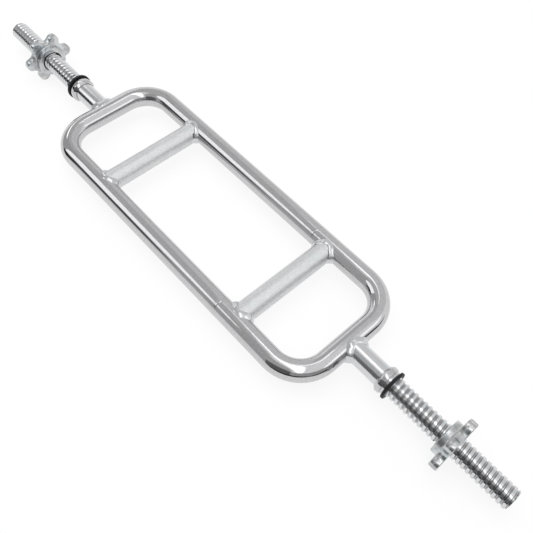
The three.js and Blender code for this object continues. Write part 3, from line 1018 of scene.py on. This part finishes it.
class TRICEPS_OT_star_collars(bpy.types.Operator):
    """Make the star collars that clamp the plates and the rubber rings in their hubs"""

    bl_idname = "triceps_bar.make_star_collars"
    bl_label = "Star collars"

    def execute(self, context):
        collar, sleeve = context.scene.collar_sizes, context.scene.sleeve_sizes
        bore = sleeve.crest_diameter / 2 + collar.bore_clearance
        outside = collar.ring_diameter / 2 - GAP
        for end, hub_face in (("near", collar.near_face), ("far", collar.far_face)):
            end_piece(end, "star_nut", star_collar_mesh(collar, sleeve, hub_face),
                      "Cast plating", "star_collar", f"{end}_star")
            face = hub_face - collar.ring_stand_out
            back = hub_face + collar.ring_depth - GAP
            ring = turned_about_x([
                (face, bore, 0.0003), (face, outside, 0.0006), (back, outside, 0.0002),
                (back, bore, 0)])
            end_piece(end, "rubber_ring", ring, "Black rubber",
                      "collar_ring", f"{end}_travelling_ring")
        return {"FINISHED"}


# The soft boxes and grey cards that stand round the set and that the metal mirrors. Each has
# its name, its brightness, the way to it, its turn in degrees, and half its width and height.
# A later one stands in front of an earlier one.
CARDS = (
    ("front_card", 0.52, (-0.002, -0.652, 0.758), -132, (1.03, 1.29)),
    ("far_right_card", 0.38, (-0.728, -0.564, 0.389), 154, (1.57, 0.92)),
    ("far_top_card", 0.61, (-0.546, 0.155, 0.823), -229, (0.64, 1.90)),
    ("overhead_strip", 2.1, (0.257, -0.127, 0.958), -103, (1.90, 0.27)),
    ("left_card", 0.78, (-0.206, 0.804, 0.557), 54, (1.40, 1.90)),
    ("front_middle_card", 0.50, (-0.340, -0.900, 0.270), 0, (1.10, 0.85)),
    ("far_soft_box", 1.47, (-0.708, -0.410, 0.574), 127, (0.61, 1.33)),
    ("far_card", 0.48, (-0.876, -0.157, 0.457), -136, (0.70, 1.36)),
    ("near_right_card", 0.42, (0.740, -0.600, 0.320), 0, (1.25, 0.85)),
    ("near_card", 0.40, (0.968, -0.053, 0.244), 72, (0.81, 1.49)),
    ("front_low_card", 0.15, (0.286, -0.903, 0.322), -58, (1.15, 1.30)),
    ("upper_strip", 1.5, (-0.200, 0.350, 0.915), 144, (0.36, 0.10)),
    ("far_upper_box", 1.7, (-0.795, 0.245, 0.555), 16, (0.34, 0.10)),
    ("far_thread_box", 2.2, (-0.842, 0.083, 0.530), 0, (0.24, 0.12)),
    ("right_soft_box", 1.6, (0.720, 0.370, 0.550), 0, (0.75, 0.30)),
    ("front_dark_strip", 0.10, (-0.640, -0.710, 0.290), 0, (0.56, 0.36)),
    ("horizon_strip", 0.85, (-0.615, -0.788, 0.020), 0, (1.45, 0.22)),
    ("corner_dark_strip", 0.03, (0.574, -0.819, 0.120), 0, (1.65, 0.22)),
    ("near_dark_strip", 0.05, (0.960, 0.200, 0.100), 0, (1.50, 0.22)),
    ("far_dark_strip", 0.02, (-0.800, -0.590, 0.110), 0, (0.42, 0.34)),
)
CARD_DISTANCE = 2.0
CARD_STEP = 0.03
CARD_SOFT_EDGE = 0.25
FLOOR_HALF = 4.0
FLOOR_DROP = 0.00005
FIBRE_SHARE = 0.04
LAMP_PLACE = (-0.1, -0.1, 1.6)
LAMP_SIZE = 1.6
LAMP_POWER = 15
SENSOR_WIDTH = 36
WHITE = (1, 1, 1, 1)


def flat_sheet(name, half_width, half_height, level=0):
    """A flat four-sided mesh that faces up."""
    mesh = bpy.data.meshes.new(name)
    mesh.from_pydata([(x * half_width, y * half_height, level) for x, y in SQUARE],
                     [], [(0, 1, 2, 3)])
    return mesh


def seen_or_mirrored(bench):
    """1 for rays from the camera, off metal or through glass, and 0 for the others."""
    rays = bench.node("ShaderNodeLightPath", output="Is Camera Ray")
    return rays.higher(rays.other("Is Glossy Ray")).higher(rays.other("Is Transmission Ray"))


def white_light(bench, kind, strength=1.0):
    return bench.node(kind, values={"Color": WHITE, "Strength": strength})


def make_floor(studio):
    mesh = flat_sheet("floor", FLOOR_HALF, FLOOR_HALF, cad_low.z - FLOOR_DROP)
    paper = bpy.data.materials.new("Pale paper")
    bench = bare_bench(paper)
    fibres = FIBRE_SHARE * bench.noise(object_place(bench), 60, detail=4.0)
    matt = bench.node("ShaderNodeBsdfDiffuse", values={
        "Color": bench.mixed(fibres, studio.floor_colour, studio.fibre_colour)})
    both = bench.node("ShaderNodeMixShader", values={
        0: seen_or_mirrored(bench) * studio.floor_glow, 1: matt,
        2: white_light(bench, "ShaderNodeEmission")})
    bench.node("ShaderNodeOutputMaterial", values={"Surface": both})
    mesh.materials.append(paper)
    put("floor", mesh)


def make_room(context, studio):
    """White where it is looked at or mirrored, and an even soft light elsewhere."""
    context.scene.world = bpy.data.worlds.new("Studio")
    bench = bare_bench(context.scene.world)
    seen = seen_or_mirrored(bench)
    background = white_light(bench, "ShaderNodeBackground",
                             studio.room_light * (1 - seen) + seen)
    bench.node("ShaderNodeOutputWorld", values={"Surface": background})


def make_card(distance, name, tone, way, turn, halves):
    """A box or card with soft edges that faces the bar."""
    half_width, half_height = (half * (distance / CARD_DISTANCE) for half in halves)
    mesh = flat_sheet(name, half_width, half_height)
    finish = bpy.data.materials.new(name)
    bench = bare_bench(finish)
    finish.cycles.emission_sampling = "NONE"
    across = bench.apart(object_place(bench))
    off_middle = ((across / half_width) ** 2
                  + (across.other("Y") / half_height) ** 2).root()
    both = bench.node("ShaderNodeMixShader", values={
        0: (1 - off_middle).eased(0, CARD_SOFT_EDGE),
        1: bench.node("ShaderNodeBsdfTransparent"),
        2: white_light(bench, "ShaderNodeEmission", tone)})
    bench.node("ShaderNodeOutputMaterial", values={"Surface": both})
    mesh.materials.append(finish)
    way = Vector(way).normalized()
    level = Vector((0, 0, 1)).cross(way).normalized()
    axes = Matrix((level, way.cross(level), way)).transposed().to_4x4()
    card = put(name, mesh)
    card.matrix_world = (Matrix.Translation(way * distance) @ axes
                         @ Matrix.Rotation(math.radians(turn), 4, "Z"))
    card.visible_camera = False


def make_lamp():
    lamp = bpy.data.lights.new("overhead_lamp", "AREA")
    lamp.size, lamp.energy = LAMP_SIZE, LAMP_POWER
    holder = put("overhead_lamp", lamp)
    holder.location = LAMP_PLACE
    holder.rotation_euler = Vector(LAMP_PLACE).to_track_quat("Z", "Y").to_euler()
    holder.visible_glossy = False


def make_camera(context, studio):
    camera = bpy.data.cameras.new("camera")
    camera.lens, camera.sensor_width = studio.lens, SENSOR_WIDTH
    camera.clip_start, camera.clip_end = 0.01, 50
    holder = put("camera", camera)
    holder.location = studio.camera_place
    holder.rotation_euler = studio.camera_turn
    context.scene.camera = holder


class TRICEPS_OT_stage(bpy.types.Operator):
    """Make the pale floor, the soft light and the camera"""

    bl_idname = "triceps_bar.make_stage"
    bl_label = "Stage"

    def execute(self, context):
        studio = context.scene.studio
        make_floor(studio)
        make_room(context, studio)
        for step, card in enumerate(CARDS):
            make_card(CARD_DISTANCE - CARD_STEP * step, *card)
        make_lamp()
        make_camera(context, studio)
        context.scene.view_settings.view_transform = "Standard"
        return {"FINISHED"}


class TRICEPS_PT_panel(bpy.types.Panel):
    """The bar's pieces in the sidebar"""

    bl_idname = "TRICEPS_PT_panel"
    bl_label = "Triceps Bar"
    bl_space_type = "VIEW_3D"
    bl_region_type = "UI"
    bl_category = "Triceps Bar"

    def draw(self, context):
        for name, group, operator in ROWS:
            box = self.layout.box()
            if operator is not None:
                box.operator(operator.bl_idname)
            sizes = getattr(context.scene, name)
            for row in group.__annotations__:
                box.prop(sizes, row)


# The scene's groups of values, and the operator that each belongs to.
ROWS = (
    ("loop_sizes", LoopSizes, TRICEPS_OT_loop),
    ("grip_sizes", GripSizes, TRICEPS_OT_grips),
    ("sleeve_sizes", SleeveSizes, TRICEPS_OT_sleeves),
    ("stop_sizes", StopSizes, TRICEPS_OT_stops),
    ("collar_sizes", CollarSizes, TRICEPS_OT_star_collars),
    ("finishes", Finishes, None),
    ("studio", StudioSettings, TRICEPS_OT_stage),
)


def register():
    for name, group, operator in ROWS:
        bpy.utils.register_class(group)
        setattr(bpy.types.Scene, name, bpy.props.PointerProperty(type=group))
        if operator is not None:
            bpy.utils.register_class(operator)
    bpy.utils.register_class(TRICEPS_PT_panel)


def unregister():
    bpy.utils.unregister_class(TRICEPS_PT_panel)
    for name, group, operator in reversed(ROWS):
        if operator is not None:
            bpy.utils.unregister_class(operator)
        delattr(bpy.types.Scene, name)
        bpy.utils.unregister_class(group)


def main():
    register()
    bpy.ops.triceps_bar.make_stage()
    bpy.ops.triceps_bar.make_loop()
    bpy.ops.triceps_bar.make_grips()
    bpy.ops.triceps_bar.make_sleeves()
    bpy.ops.triceps_bar.make_stops()
    bpy.ops.triceps_bar.make_star_collars()


if __name__ == "__main__":
    main()
